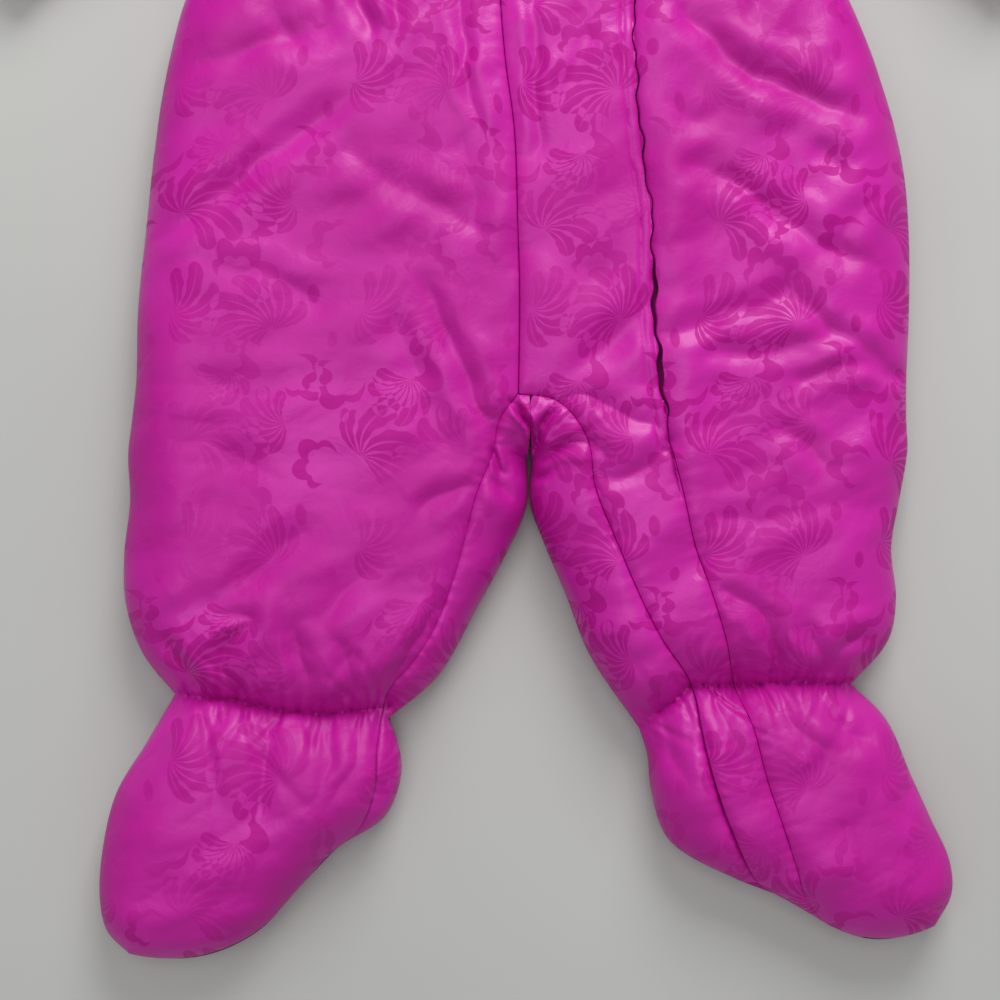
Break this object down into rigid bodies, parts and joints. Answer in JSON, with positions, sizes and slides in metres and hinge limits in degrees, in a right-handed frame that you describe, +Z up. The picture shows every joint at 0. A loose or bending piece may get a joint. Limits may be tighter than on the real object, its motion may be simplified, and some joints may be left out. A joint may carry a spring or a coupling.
{
  "type": "baby snowsuit",
  "caption": "Padded baby snowsuit with booties, laid flat on its back: puffed trousers, a flap over the zip, gathered ankles and soled feet.",
  "frame": {"origin": "middle of the suit's bounding box, on the table it lies on", "axes": "+X to the wearer's left, +Y from the toes towards the head, +Z up out of the front"},
  "size_m": [0.57, 0.7164, 0.0411],
  "materials": {
    "cloth": "satin polyester with a tone-on-tone leaf damask",
    "zip_tape": "matt woven tape",
    "zip_metal": "satin"
  },
  "bodies": {
    "root": {"front_right": "cloth", "front_centre": "cloth", "front_left": "cloth", "back_right": "cloth", "back_left": "cloth", "sole_right": "cloth", "sole_left": "cloth", "bodice_front_right": "cloth", "bodice_front_centre": "cloth", "bodice_front_left": "cloth", "bodice_back": "cloth", "sleeve_right": "cloth", "sleeve_left": "cloth", "collar": "cloth", "zip_tape_right": "zip_tape", "zip_tape_left": "zip_tape", "zip_slider": "zip_metal", "zip_pull": "zip_metal"}
  },
  "joints": []
}
